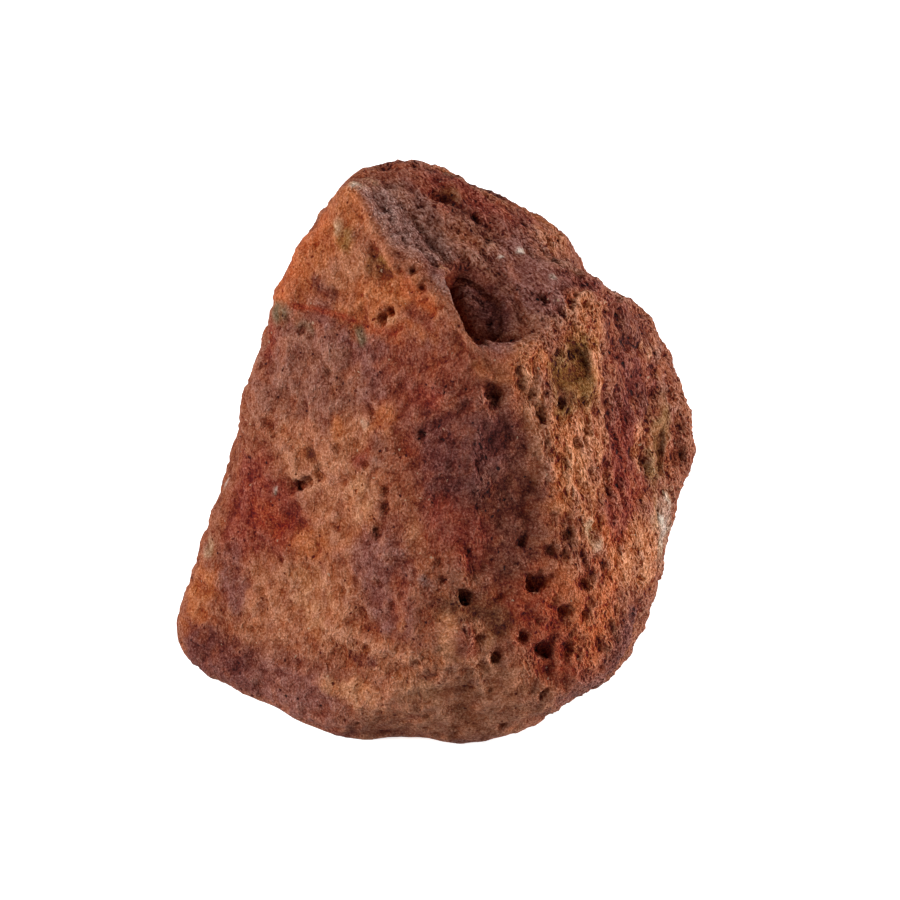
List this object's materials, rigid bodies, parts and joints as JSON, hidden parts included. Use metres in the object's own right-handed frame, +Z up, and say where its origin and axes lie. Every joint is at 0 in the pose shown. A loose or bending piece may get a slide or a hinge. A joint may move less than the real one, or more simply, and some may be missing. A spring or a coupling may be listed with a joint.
{
  "type": "rhyolite tuff stone",
  "caption": "Hand-sized lump of rust-brown rhyolite tuff with broken facets, a sharp crest, a deep cleft and gas cavities, resting on a flattened base.",
  "frame": {"origin": "on the base plane, under the middle of the stone's bounding box", "axes": "+Z up from the flat base, -Y towards the front with the crest and the cleft, +X towards the porous right side"},
  "size_m": [0.0872, 0.0674, 0.0836],
  "materials": {
    "tuff": "matt, porous, rust-orange to violet-brown with pale mineral grains"
  },
  "bodies": {
    "root": {"stone": "tuff"}
  },
  "joints": []
}
